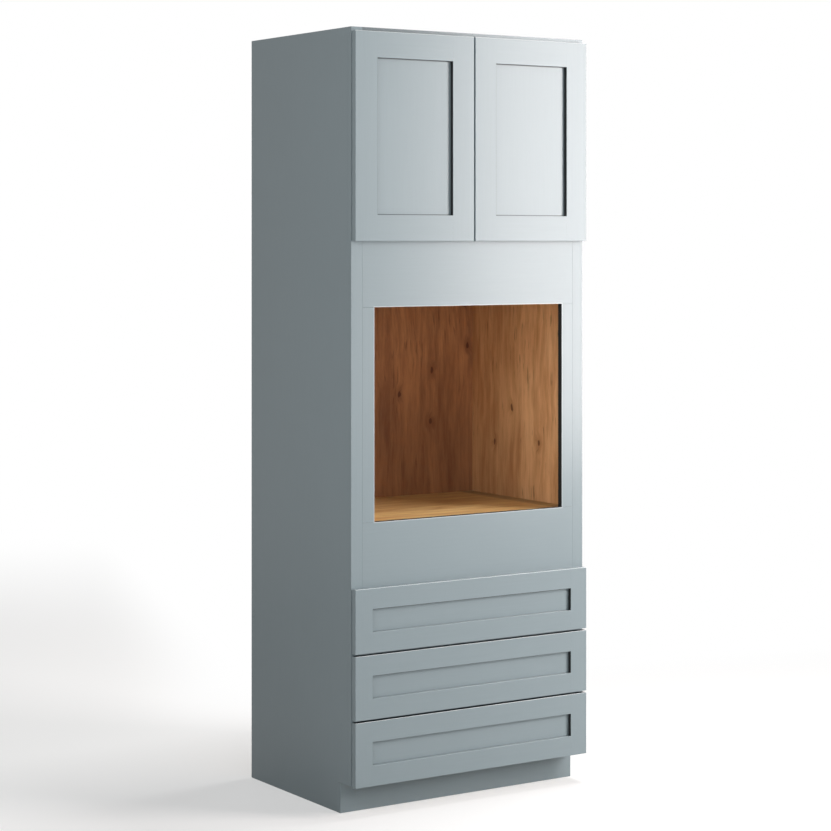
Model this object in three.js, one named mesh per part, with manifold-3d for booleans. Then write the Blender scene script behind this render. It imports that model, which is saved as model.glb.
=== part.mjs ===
// Tall cabinet that houses a built-in oven: two doors over a cupboard, an open space for the
// oven, and three drawers. Millimetres, X to the right seen from the front, Y to the back, Z up.
import * as THREE from "three";
import { mergeVertices } from "three/addons/utils/BufferGeometryUtils.js";
import Module from "manifold-3d";

const wasm = await Module();
wasm.setup();

// Overall case. Y is 0 on the front of the face frame until the whole model is centred at the end.
const WIDTH = 838.2;
const HEIGHT = 2286;
const CASE_DEPTH = 590;
const HALF = WIDTH / 2;
const GAP = 0.3; // glue line or clearance between pieces that touch

// Board thicknesses.
const SIDE_THICK = 12.7;
const BACK_THICK = 12.7;
const DECK_THICK = 12.7;
const OVEN_SHELF_THICK = 19;
const DADO_DEPTH = 4; // grooves in the sides that hold the decks' tongues
const TONGUE_STEP = 4; // how far a tongue lies below its deck's upper face

// Face frame.
const FRAME_THICK = 19;
const STILE_WIDTH = 38;
const RAIL_HEIGHT = 38;
const TOE_HEIGHT = 89;
const TOE_SETBACK = 60.5;
const OVEN_OPENING = { width: 680, low: 848, high: 1473 };
const SILL_LOW = 641;
const HEADER_HIGH = 1697;
const DRAWER_RAIL_MIDDLES = { lower: 278, upper: 470 };

// Levels of the decks' upper faces.
const OVEN_SHELF_TOP = 842;
const CUPBOARD_FLOOR_TOP = 1694;
const BOTTOM_DECK_TOP = 124;
const SHELF_BOTTOM = 1976;
const SHELF_THICK = 19;
const SHELF_FRONT = 45;
const SHELF_REAR = 560;
const HANGING_RAIL = { low: 2175, thick: 19 };

// Shelf pins: a peg in a blind hole, with a collar against the side panel.
const PIN = { radius: 2.4, inWall: 8, reach: 8, collarRadius: 4.5, collarThick: 1.5 };
const PIN_SETBACK = 60; // from the shelf's front and rear edges
const PIN_HOLES = { pitch: 32, each: 4, steps: 12 }; // spare holes above and below the pins

// Doors and drawer fronts stand ahead of the face frame, flush with the cabinet's sides.
const FRONT_THICK = 19;
const FRONT_STANDOFF = 3;
const FRONT_SIDE_REVEAL = 1;
const PANEL_RECESS = 11;
const PANEL_THICK = 5.5;
const GROOVE_DEPTH = 8;
const EDGE_EASE = 1;

const DOOR = { low: 1665.5, high: 2273.5, member: 76, meeting: 5 };
const DRAWERS = [
  { name: "top", low: 472.7, high: 660.1, boxLow: 503, boxHeight: 115 },
  { name: "middle", low: 280.7, high: 466.9, boxLow: 311, boxHeight: 115 },
  { name: "bottom", low: 87.1, high: 275.1, boxLow: 140, boxHeight: 95 },
];
const DRAWER_MEMBER = 60;

// Concealed hinge. Its pin stands upright inside the cup, so that the door swings clear.
const HINGE = {
  fromDoorEnd: 92,
  pinFromEdge: 8,
  pinBehindBack: 9, // from the door's rear face into the door
  pinRadius: 1.3,
  boreRadius: 1.6,
  knuckleRadius: 2.6,
  cupRadius: 17.5,
  cupCentre: 12.5, // from the pin, towards the middle of the door
  cupDepth: 13.1,
  cupWall: 1,
  wingLength: 52,
  wingWidth: 16,
  armThick: 1.2,
  armWidth: 9,
  crank: 12, // from the pin to the arm's turn out of the cup
  plateThick: 1.5,
  plateHeight: 42,
  plateDepth: 19,
};

// Drawer boxes and their slides, a runner on the box inside a channel on the cabinet.
const BOX = { width: 736, length: 508, wall: 12.7, bottomThick: 6, bottomUp: 10, groove: 6 };
const SLIDE = { aboveBox: 35, steel: 1.2, channelHalf: 17.5, runnerHalf: 13, front: 2 };
const CHANNEL_REAR = 540;
const CHANNEL_WIDTH = 9.3;
const RUNNER_REAR = 505;
const RUNNER_WIDTH = 9.2;
const BRACKET_REACH = 21;

const ROUND_STEPS = 32;
const SIDES = [["left", 1], ["right", -1]]; // the right side is the left one mirrored

const paint = new THREE.MeshStandardMaterial({ color: 0xb4bfc3, roughness: 0.42 });
const wood = new THREE.MeshStandardMaterial({ color: 0x99693f, roughness: 0.55 });
const boxWood = new THREE.MeshStandardMaterial({ color: 0xd2b48c, roughness: 0.5 });
const steel = new THREE.MeshStandardMaterial({ color: 0xb8babd, roughness: 0.3, metalness: 1 });

// A box between two limits on each axis.
function block([x0, x1], [y0, y1], [z0, z1]) {
  const geometry = new THREE.BoxGeometry(x1 - x0, y1 - y0, z1 - z0);
  return geometry.translate((x0 + x1) / 2, (y0 + y1) / 2, (z0 + z1) / 2);
}

// A round bar along X, Y or Z between two limits on that axis, centred at the other two values.
function bar(axis, radius, [from, to], [a, b], steps = ROUND_STEPS) {
  const geometry = new THREE.CylinderGeometry(radius, radius, to - from, steps);
  const middle = (from + to) / 2;
  if (axis === "x") return geometry.rotateZ(Math.PI / 2).translate(middle, a, b);
  if (axis === "z") return geometry.rotateX(Math.PI / 2).translate(a, b, middle);
  return geometry.translate(a, middle, b);
}

// An upright board of a flat section in X and Y, from one height to another.
function upright(points, [z0, z1]) {
  const shape = new THREE.Shape(points.map(([x, y]) => new THREE.Vector2(x, y)));
  return new THREE.ExtrudeGeometry(shape, { depth: z1 - z0, bevelEnabled: false }).translate(0, 0, z0);
}

function solidOf(geometry) {
  const bare = geometry.clone();
  bare.deleteAttribute("normal");
  bare.deleteAttribute("uv");
  const { attributes, index } = mergeVertices(bare, 1e-4);
  const vertProperties = attributes.position.array;
  return new wasm.Manifold(new wasm.Mesh({ numProp: 3, vertProperties, triVerts: index.array }));
}

function geometryOf(solid) {
  const { numProp, numVert, vertProperties, triVerts } = solid.getMesh();
  const geometry = new THREE.BufferGeometry();
  const positions = vertProperties.slice(0, numVert * numProp);
  geometry.setAttribute("position", new THREE.BufferAttribute(positions, numProp));
  geometry.setIndex(new THREE.BufferAttribute(triVerts, 1));
  geometry.computeVertexNormals();
  return geometry;
}

function cut(geometry, tools) {
  return geometryOf(tools.reduce((rest, tool) => rest.subtract(solidOf(tool)), solidOf(geometry)));
}

function join(pieces) {
  return geometryOf(pieces.slice(1).reduce((all, piece) => all.add(solidOf(piece)), solidOf(pieces[0])));
}

function piece(name, geometry, material) {
  const mesh = new THREE.Mesh(geometry, material);
  mesh.name = name;
  return mesh;
}

function assembly(pieces) {
  const group = new THREE.Group();
  if (pieces.length) group.add(...pieces);
  return group;
}

// The same assembly on both sides of the cabinet, the right one mirrored.
function onBothSides(make) {
  return assembly(SIDES.map(([side, sign]) => {
    const group = make(side);
    group.scale.x = sign;
    return group;
  }));
}

const FRAME_BACK = FRAME_THICK + GAP;
const BACK_FRONT = CASE_DEPTH - BACK_THICK;
const INNER_HALF = HALF - SIDE_THICK;
const INSIDE_Y = [FRAME_BACK, BACK_FRONT - GAP];
const DECKS = [
  { name: "cupboard_floor", top: CUPBOARD_FLOOR_TOP, thick: DECK_THICK },
  { name: "oven_shelf", top: OVEN_SHELF_TOP, thick: OVEN_SHELF_THICK },
  { name: "bottom_deck", top: BOTTOM_DECK_TOP, thick: DECK_THICK },
];

function pinPlaces() {
  const height = SHELF_BOTTOM - GAP - PIN.radius;
  return [["front", SHELF_FRONT + PIN_SETBACK], ["rear", SHELF_REAR - PIN_SETBACK]]
    .map(([end, y]) => ({ end, y, z: height }));
}

// The hole of a shelf pin, with spare ones above and below it to move the shelf.
function holeColumn(y, pinZ, beyond) {
  const depth = [-INNER_HALF - PIN.inWall - GAP, -INNER_HALF + beyond];
  return Array.from({ length: 2 * PIN_HOLES.each + 1 }, (_, i) => {
    const z = pinZ + (i - PIN_HOLES.each) * PIN_HOLES.pitch;
    return bar("x", PIN.radius + GAP, depth, [y, z], PIN_HOLES.steps);
  });
}

// A deck with a tongue at each end, set below its upper face.
function deck({ top, thick }) {
  const half = INNER_HALF - GAP;
  const tongueHalf = INNER_HALF + DADO_DEPTH - GAP;
  const tongues = block([-tongueHalf, tongueHalf], INSIDE_Y, [top - thick, top - TONGUE_STEP]);
  return join([block([-half, half], INSIDE_Y, [top - thick, top]), tongues]);
}

function sidePanel(side) {
  const board = block([-HALF, -INNER_HALF], [FRAME_BACK, CASE_DEPTH], [0, HEIGHT]);
  const beyond = 10;
  const notch = block(
    [-HALF - beyond, -INNER_HALF + beyond],
    [0, TOE_SETBACK + SIDE_THICK + GAP],
    [-beyond, TOE_HEIGHT],
  );
  const dados = DECKS.map(({ top, thick }) => block(
    [-INNER_HALF - DADO_DEPTH, -INNER_HALF + beyond],
    [0, BACK_FRONT],
    [top - thick - GAP, top - TONGUE_STEP + GAP],
  ));
  const holes = pinPlaces().flatMap(({ y, z }) => holeColumn(y, z, beyond));
  return assembly([piece(`${side}_side_panel`, cut(board, [notch, ...dados, ...holes]), paint)]);
}

function shelfPins(side) {
  return assembly(pinPlaces().map(({ end, y, z }) => {
    const peg = bar("x", PIN.radius, [-INNER_HALF - PIN.inWall, -INNER_HALF + PIN.reach], [y, z]);
    const collarFrom = -INNER_HALF + GAP;
    const collar = bar("x", PIN.collarRadius, [collarFrom, collarFrom + PIN.collarThick], [y, z]);
    return piece(`shelf_pin_${side}_${end}`, join([peg, collar]), steel);
  }));
}

function carcass() {
  const between = [-INNER_HALF + GAP, INNER_HALF - GAP];
  const decks = DECKS.map((spec) => piece(spec.name, deck(spec), wood));
  const back = block(between, [BACK_FRONT, CASE_DEPTH], [TOE_HEIGHT, HEIGHT]);
  const top = block(between, INSIDE_Y, [HEIGHT - DECK_THICK, HEIGHT]);
  const railY = [BACK_FRONT - GAP - HANGING_RAIL.thick, BACK_FRONT - GAP];
  const rail = block(between, railY, [HANGING_RAIL.low, HEIGHT - DECK_THICK - GAP]);
  const toeY = [TOE_SETBACK, TOE_SETBACK + SIDE_THICK];
  const shelfHalf = INNER_HALF - PIN.collarThick - 2 * GAP;
  const shelfZ = [SHELF_BOTTOM, SHELF_BOTTOM + SHELF_THICK];
  return assembly([
    ...decks,
    piece("back_panel", back, wood),
    piece("top_panel", top, wood),
    piece("hanging_rail", rail, wood),
    piece("toe_kick_board", block([-HALF, HALF], toeY, [0, TOE_HEIGHT - GAP]), paint),
    piece("cupboard_shelf", block([-shelfHalf, shelfHalf], [SHELF_FRONT, SHELF_REAR], shelfZ), wood),
    onBothSides(sidePanel),
    onBothSides(shelfPins),
  ]);
}

const STILE_INNER = HALF - STILE_WIDTH;
const FRAME_Y = [0, FRAME_THICK];

function faceFrameSide(side) {
  const stile = block([-HALF, -STILE_INNER], FRAME_Y, [TOE_HEIGHT, HEIGHT]);
  const fillerX = [-STILE_INNER + GAP, -OVEN_OPENING.width / 2];
  const filler = block(fillerX, FRAME_Y, [OVEN_OPENING.low + GAP, OVEN_OPENING.high - GAP]);
  return assembly([
    piece(`${side}_stile`, stile, paint),
    piece(`${side}_opening_filler`, filler, paint),
  ]);
}

function faceFrame() {
  const { lower, upper } = DRAWER_RAIL_MIDDLES;
  const rails = [
    ["top_rail", HEIGHT - RAIL_HEIGHT, HEIGHT],
    ["header_rail", OVEN_OPENING.high, HEADER_HIGH],
    ["sill_rail", SILL_LOW, OVEN_OPENING.low],
    ["upper_drawer_rail", upper - RAIL_HEIGHT / 2, upper + RAIL_HEIGHT / 2],
    ["lower_drawer_rail", lower - RAIL_HEIGHT / 2, lower + RAIL_HEIGHT / 2],
    ["bottom_rail", TOE_HEIGHT, TOE_HEIGHT + RAIL_HEIGHT],
  ];
  const x = [-STILE_INNER + GAP, STILE_INNER - GAP];
  const pieces = rails.map(([name, low, high]) => piece(name, block(x, FRAME_Y, [low, high]), paint));
  return assembly([...pieces, onBothSides(faceFrameSide)]);
}

const FRONT_BACK = -FRONT_STANDOFF;
const FRONT_FACE = FRONT_BACK - FRONT_THICK;

// The four members of a door or drawer front as one glued frame, grooved for its panel.
function frontFrame([x0, x1], [z0, z1], member) {
  const e = EDGE_EASE;
  const section = [
    [x0 + e, FRONT_FACE], [x1 - e, FRONT_FACE], [x1, FRONT_FACE + e], [x1, FRONT_BACK - e],
    [x1 - e, FRONT_BACK], [x0 + e, FRONT_BACK], [x0, FRONT_BACK - e], [x0, FRONT_FACE + e],
  ];
  const through = [FRONT_FACE - FRONT_THICK, FRONT_BACK + FRONT_THICK];
  const windowX = [x0 + member, x1 - member];
  const windowZ = [z0 + member, z1 - member];
  const grooveY = [FRONT_FACE + PANEL_RECESS - GAP, FRONT_FACE + PANEL_RECESS + PANEL_THICK + GAP];
  const groove = block(grown(windowX, GROOVE_DEPTH), grooveY, grown(windowZ, GROOVE_DEPTH));
  return cut(upright(section, [z0, z1]), [block(windowX, through, windowZ), groove]);
}

function frontPanel([x0, x1], [z0, z1], member) {
  const inset = member - GROOVE_DEPTH + GAP;
  const y = [FRONT_FACE + PANEL_RECESS, FRONT_FACE + PANEL_RECESS + PANEL_THICK];
  return block(grown([x0, x1], -inset), y, grown([z0, z1], -inset));
}

function grown([low, high], by) {
  return [low - by, high + by];
}

const DOOR_OUTER = -HALF + FRONT_SIDE_REVEAL;
const PIN_X = DOOR_OUTER + HINGE.pinFromEdge;
const PIN_Y = FRONT_BACK - HINGE.pinBehindBack;
const CUP_X = PIN_X + HINGE.cupCentre;
const HINGE_LEVELS = [
  ["upper", DOOR.high - HINGE.fromDoorEnd],
  ["lower", DOOR.low + HINGE.fromDoorEnd],
];

// A hinge cup's outer form, grown for the recess that it sits in.
function cupForm(z, by) {
  const depth = [FRONT_BACK - HINGE.cupDepth - by, FRONT_BACK + by];
  const body = bar("y", HINGE.cupRadius + by, depth, [CUP_X, z]);
  const wingX = grown([CUP_X - HINGE.wingWidth / 2, CUP_X + HINGE.wingWidth / 2], by);
  const wingZ = grown([z - HINGE.wingLength / 2, z + HINGE.wingLength / 2], by);
  return [body, block(wingX, [FRONT_BACK - HINGE.cupWall - by, FRONT_BACK + by], wingZ)];
}

function hingeCup(z) {
  const inner = HINGE.cupRadius - HINGE.cupWall;
  const floor = FRONT_BACK - HINGE.cupDepth + HINGE.cupWall;
  const hollow = bar("y", inner, [floor, FRONT_BACK + HINGE.cupWall], [CUP_X, z]);
  const shell = cut(join(cupForm(z, 0)), [hollow]);
  const pinHalf = Math.sqrt(inner ** 2 - HINGE.cupCentre ** 2) - GAP; // ends inside the cup's wall
  const pin = bar("z", HINGE.pinRadius, [z - pinHalf, z + pinHalf], [PIN_X, PIN_Y]);
  return join([shell, pin]);
}

// The arm runs from its plate on the stile's edge, through the space behind the door, into the cup.
function hingeArm(z) {
  const half = HINGE.armThick / 2;
  const armZ = [z - HINGE.armWidth / 2, z + HINGE.armWidth / 2];
  const plateX = [-STILE_INNER + GAP, -STILE_INNER + GAP + HINGE.plateThick];
  const gapMiddle = -FRONT_STANDOFF / 2;
  const strapY = [gapMiddle - half, gapMiddle + half];
  const crankX = [PIN_X + HINGE.crank - half, PIN_X + HINGE.crank + half];
  const plateZ = [z - HINGE.plateHeight / 2, z + HINGE.plateHeight / 2];
  const plateY = [strapY[0], strapY[0] + HINGE.plateDepth];
  const solid = join([
    bar("z", HINGE.knuckleRadius, armZ, [PIN_X, PIN_Y]),
    block([PIN_X, crankX[1]], [PIN_Y - half, PIN_Y + half], armZ),
    block(crankX, [PIN_Y - half, strapY[1]], armZ),
    block([crankX[0], plateX[1]], strapY, armZ),
    block(plateX, plateY, plateZ),
  ]);
  return cut(solid, [bar("z", HINGE.boreRadius, grown(armZ, 1), [PIN_X, PIN_Y])]);
}

function door(side) {
  const x = [DOOR_OUTER, -DOOR.meeting / 2];
  const z = [DOOR.low, DOOR.high];
  const recesses = HINGE_LEVELS.flatMap(([, level]) => cupForm(level, GAP));
  return assembly([
    piece(`${side}_door_frame`, cut(frontFrame(x, z, DOOR.member), recesses), paint),
    piece(`${side}_door_panel`, frontPanel(x, z, DOOR.member), paint),
    ...HINGE_LEVELS.flatMap(([end, level]) => [
      piece(`${side}_${end}_hinge_cup`, hingeCup(level), steel),
      piece(`${side}_${end}_hinge_arm`, hingeArm(level), steel),
    ]),
  ]);
}

const BOX_HALF = BOX.width / 2;
const BOX_Y = [FRONT_BACK + GAP, BOX.length];

function drawerBox({ boxLow, boxHeight }) {
  const inside = [-BOX_HALF + BOX.wall, BOX_HALF - BOX.wall];
  const insideY = grown(BOX_Y, -BOX.wall);
  const hollow = block(inside, insideY, [boxLow - 1, boxLow + boxHeight + 1]);
  const bottomZ = [boxLow + BOX.bottomUp, boxLow + BOX.bottomUp + BOX.bottomThick];
  const groove = block(grown(inside, BOX.groove), grown(insideY, BOX.groove), grown(bottomZ, GAP));
  const walls = block([-BOX_HALF, BOX_HALF], BOX_Y, [boxLow, boxLow + boxHeight]);
  const fit = BOX.groove - GAP;
  return {
    walls: cut(walls, [hollow, groove]),
    bottom: block(grown(inside, fit), grown(insideY, fit), bottomZ),
  };
}

// A folded steel strip on edge: its web, and a flange along each long edge.
function stripWithFlanges(webX, flangeX, y, z, half) {
  const { steel: thick } = SLIDE;
  return [
    block(webX, y, [z - half, z + half]),
    block(flangeX, y, [z + half - thick, z + half]),
    block(flangeX, y, [z - half, z - half + thick]),
  ];
}

function slideChannel(z) {
  const outer = -STILE_INNER + GAP;
  const webX = [outer, outer + SLIDE.steel];
  const flangeX = [outer, outer + CHANNEL_WIDTH];
  const tabX = [outer - BRACKET_REACH, webX[1]];
  const tabZ = [z - SLIDE.channelHalf, z + SLIDE.channelHalf];
  const rearFoot = BACK_FRONT - GAP - SLIDE.steel;
  return join([
    ...stripWithFlanges(webX, flangeX, [SLIDE.front, CHANNEL_REAR], z, SLIDE.channelHalf),
    block(tabX, [FRAME_BACK, FRAME_BACK + SLIDE.steel], tabZ),
    block(webX, [CHANNEL_REAR - 1, rearFoot + SLIDE.steel], tabZ),
    block(tabX, [rearFoot, rearFoot + SLIDE.steel], tabZ),
  ]);
}

function slideRunner(z) {
  const inner = -BOX_HALF - GAP;
  const webX = [inner - SLIDE.steel, inner];
  const flangeX = [inner - RUNNER_WIDTH, inner];
  return join(stripWithFlanges(webX, flangeX, [SLIDE.front, RUNNER_REAR], z, SLIDE.runnerHalf));
}

function drawer(spec) {
  const x = [DOOR_OUTER, -DOOR_OUTER];
  const z = [spec.low, spec.high];
  const { walls, bottom } = drawerBox(spec);
  const slideZ = spec.boxLow + SLIDE.aboveBox;
  const slides = onBothSides((side) => assembly([
    piece(`${spec.name}_${side}_slide_channel`, slideChannel(slideZ), steel),
    piece(`${spec.name}_${side}_slide_runner`, slideRunner(slideZ), steel),
  ]));
  return assembly([
    piece(`${spec.name}_drawer_front_frame`, frontFrame(x, z, DRAWER_MEMBER), paint),
    piece(`${spec.name}_drawer_front_panel`, frontPanel(x, z, DRAWER_MEMBER), paint),
    piece(`${spec.name}_drawer_box`, walls, boxWood),
    piece(`${spec.name}_drawer_bottom`, bottom, boxWood),
    slides,
  ]);
}

const cabinet = assembly([carcass(), faceFrame(), onBothSides(door), ...DRAWERS.map(drawer)]);
cabinet.name = "tall_oven_housing";
cabinet.position.y = -(CASE_DEPTH + FRONT_FACE) / 2;

export default cabinet;
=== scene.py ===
"""Looks, light and camera for a tall painted cabinet that houses a built-in oven.

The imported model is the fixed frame. Boards that keep their shape get eased edges and a finish,
and the doors, drawer fronts, drawer boxes, side panels and back are built again as joiner's work.
Lengths are in metres, X to the right seen from the front, Y to the back, Z up.
"""

import logging
import math
from dataclasses import dataclass
from enum import Enum, IntEnum
from functools import cached_property, partial
from itertools import product
from typing import Any, Callable, ClassVar, Iterable, Sequence, Union

import bmesh
import bpy
from mathutils import Matrix, Vector


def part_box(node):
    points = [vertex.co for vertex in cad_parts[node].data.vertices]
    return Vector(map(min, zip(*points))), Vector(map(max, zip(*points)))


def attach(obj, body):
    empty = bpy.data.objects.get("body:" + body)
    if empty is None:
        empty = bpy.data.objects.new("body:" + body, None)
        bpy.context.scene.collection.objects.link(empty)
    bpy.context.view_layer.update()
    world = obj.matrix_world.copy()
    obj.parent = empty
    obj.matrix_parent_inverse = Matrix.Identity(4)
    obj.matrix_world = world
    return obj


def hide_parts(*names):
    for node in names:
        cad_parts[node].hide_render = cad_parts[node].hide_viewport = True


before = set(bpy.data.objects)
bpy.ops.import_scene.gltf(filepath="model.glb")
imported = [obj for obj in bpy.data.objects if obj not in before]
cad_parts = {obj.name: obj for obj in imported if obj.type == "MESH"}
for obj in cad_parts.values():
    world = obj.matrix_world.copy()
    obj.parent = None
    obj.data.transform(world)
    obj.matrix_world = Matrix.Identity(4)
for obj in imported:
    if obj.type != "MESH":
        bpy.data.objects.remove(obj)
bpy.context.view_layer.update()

LOG = logging.getLogger("oven_housing")
MM = 0.001
DRAWERS = ("top", "middle", "bottom")
Span = tuple[float, float]
Point = tuple[float, float]
Triple = tuple[float, float, float]
Colour = Triple
BMesh = bmesh.types.BMesh


class Axis(Enum):
    """A row axis, as its index in a vector."""

    X = 0
    Y = 1
    Z = 2


class Side(Enum):
    """A side of the cabinet, as the sign of its X."""

    LEFT = -1
    RIGHT = 1

    @property
    def word(self) -> str:
        """The side's name in piece and node names."""
        return self.name.lower()


def srgb(red: int, green: int, blue: int) -> Colour:
    """The linear values that a shader takes for a screen colour of 0 to 255."""
    shares = [value / 255 for value in (red, green, blue)]
    return tuple(s / 12.92 if s <= 0.04045 else ((s + 0.055) / 1.055) ** 2.4 for s in shares)


# --- Shader maths ---------------------------------------------------------------------------


class Value:
    """A shader socket that takes part in Python sums, and adds the nodes for them."""

    def __init__(self, graph: "Graph", socket: bpy.types.NodeSocket) -> None:
        """Wraps an output socket of a graph's node."""
        self.graph = graph
        self.socket = socket

    @property
    def is_vector(self) -> bool:
        """Whether the socket holds a vector or a colour."""
        return self.socket.type in {"VECTOR", "RGBA"}

    def _sum(self, operation: str, other: "Term", swapped: bool = False) -> "Value":
        """Adds the Math or Vector Math node of one operation.

        Args:
            operation: The node's operation.
            other: The other term.
            swapped: Whether the other term comes first.

        Returns:
            The node's result.
        """
        other_is_vector = isinstance(other, tuple) or (isinstance(other, Value) and other.is_vector)
        kind = "ShaderNodeVectorMath" if self.is_vector or other_is_vector else "ShaderNodeMath"
        terms = {0: other, 1: self} if swapped else {0: self, 1: other}
        return self.graph.node(kind, {"operation": operation}, terms)

    def __add__(self, other: "Term") -> "Value":
        """self + other."""
        return self._sum("ADD", other)

    def __radd__(self, other: "Term") -> "Value":
        """other + self."""
        return self._sum("ADD", other, swapped=True)

    def __sub__(self, other: "Term") -> "Value":
        """self - other."""
        return self._sum("SUBTRACT", other)

    def __rsub__(self, other: "Term") -> "Value":
        """other - self."""
        return self._sum("SUBTRACT", other, swapped=True)

    def __mul__(self, other: "Term") -> "Value":
        """self * other."""
        return self._sum("MULTIPLY", other)

    def __rmul__(self, other: "Term") -> "Value":
        """other * self."""
        return self._sum("MULTIPLY", other, swapped=True)

    def above(self, low: float, high: float) -> "Value":
        """A smooth step: 0 up to low, 1 from high, and the reverse when low is the larger."""
        inputs = {"Value": self, "From Min": low, "From Max": high}
        return self.graph.node("ShaderNodeMapRange", {"interpolation_type": "SMOOTHSTEP"}, inputs)

    def part(self, axis: Axis) -> "Value":
        """One component of a vector."""
        return self.graph.node("ShaderNodeSeparateXYZ", {}, {0: self}, axis.value)

    def stretched(self, along: Axis, across_per_metre: float, along_per_metre: float) -> "Value":
        """Scales a point so that a pattern runs out along one axis.

        Args:
            along: The axis that the pattern runs along.
            across_per_metre: Repeats to the metre on the other two axes.
            along_per_metre: Repeats to the metre along it.

        Returns:
            The scaled point.
        """
        scale = [across_per_metre] * 3
        scale[along.value] = along_per_metre
        return self * tuple(scale)


Term = Union[Value, float, Colour]


class Graph:
    """A material's or world's node tree, filled by expressions."""

    def __init__(self, tree: bpy.types.NodeTree) -> None:
        """Empties the tree."""
        self.tree = tree
        tree.nodes.clear()

    def node(self, kind: str, settings: dict[str, Any], inputs: dict[Any, Term], output: Any = 0) -> Value:
        """Adds any node that has an output.

        Args:
            kind: The node's type.
            settings: Its own settings, set first.
            inputs: Socket names or indices, with a value or a Value to link.
            output: The name or index of the output to return.

        Returns:
            The chosen output.
        """
        made = self.tree.nodes.new(kind)
        for name, value in settings.items():
            setattr(made, name, value)
        for name, value in inputs.items():
            self._feed(made.inputs[name], value)
        return Value(self, made.outputs[output])

    def _feed(self, socket: bpy.types.NodeSocket, value: Term) -> None:
        """Links a Value to a socket, or sets the socket's own value.

        Args:
            socket: The input socket.
            value: What it takes. A number fills all three parts of a vector.
        """
        if isinstance(value, Value):
            self.tree.links.new(value.socket, socket)
        elif socket.type == "VECTOR" and not isinstance(value, tuple):
            socket.default_value = (value, value, value)
        elif socket.type == "RGBA":
            socket.default_value = (*value, 1.0)
        else:
            socket.default_value = value

    def coordinates(self) -> Value:
        """The point in the piece's own frame, in metres."""
        return self.node("ShaderNodeTexCoord", {}, {}, "Object")

    def noise(self, where: Value, detail: float = 2.0, roughness: float = 0.5) -> Value:
        """Cloudy noise from 0 to 1, one cloud to each unit of where."""
        inputs = {"Vector": where, "Scale": 1.0, "Detail": detail, "Roughness": roughness}
        return self.node("ShaderNodeTexNoise", {}, inputs)

    def mix(self, share: Term, first: Term, second: Term, how: str = "MIX") -> Value:
        """The mix of two colours, with a share of the second one, by a blend type."""
        settings = {"data_type": "RGBA", "blend_type": how}
        return self.node("ShaderNodeMix", settings, {0: share, 6: first, 7: second}, 2)

    def toned(self, colour: Term, tone: Term) -> Value:
        """A colour multiplied by a tone."""
        return self.mix(1.0, colour, tone, "MULTIPLY")

    def measured(self, operation: str, *vectors: Term) -> Value:
        """The number that a Vector Math operation makes of one or two vectors."""
        return self.node("ShaderNodeVectorMath", {"operation": operation}, dict(enumerate(vectors)), "Value")

    def bump(self, height: Value, metres: float, **under: Value) -> Value:
        """A normal bent by a height from 0 to 1 that stands for so many metres, over any Normal under it."""
        inputs = {"Strength": 1.0, "Distance": metres, "Height": height, **under}
        return self.node("ShaderNodeBump", {}, inputs)

    def surface(self, shader: Value) -> None:
        """Ends the graph in a surface.

        Args:
            shader: The shader that the surface shows.
        """
        of_world = isinstance(self.tree.id_data, bpy.types.World)
        end = self.tree.nodes.new("ShaderNodeOutputWorld" if of_world else "ShaderNodeOutputMaterial")
        self.tree.links.new(shader.socket, end.inputs["Surface"])


# --- Finishes -------------------------------------------------------------------------------


@dataclass(frozen=True)
class Finish:
    """A finish that can be laid on a piece: one material by name."""

    name: str

    def material(self) -> bpy.types.Material:
        """Makes the material on its first use.

        Returns:
            The material.
        """
        found = bpy.data.materials.get(self.name)
        if found:
            return found
        made = bpy.data.materials.new(self.name)
        made.use_nodes = True
        graph = Graph(made.node_tree)
        graph.surface(self.shader(graph))
        return made

    def shader(self, graph: Graph) -> Value:
        """The finish's shader."""
        raise NotImplementedError


@dataclass(frozen=True)
class Shade:
    """A painted mark of another colour on a finish: painted shade, or a painted highlight.

    Attributes:
        ramps: Each an axis, and where along it the mark starts and is full. All of them count.
        share: How strong the full mark is, 0 to 1.
        colour: Its colour.
    """

    ramps: tuple[tuple[Axis, Span], ...]
    share: float
    colour: Colour

    def over(self, graph: Graph, colour: Value) -> Value:
        """Lays the mark over a colour.

        Args:
            graph: The finish's graph.
            colour: The colour under the mark.

        Returns:
            The marked colour.
        """
        share: Term = self.share
        for axis, span in self.ramps:
            share = graph.coordinates().part(axis).above(*span) * share
        return graph.mix(share, colour, self.colour)


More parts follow.
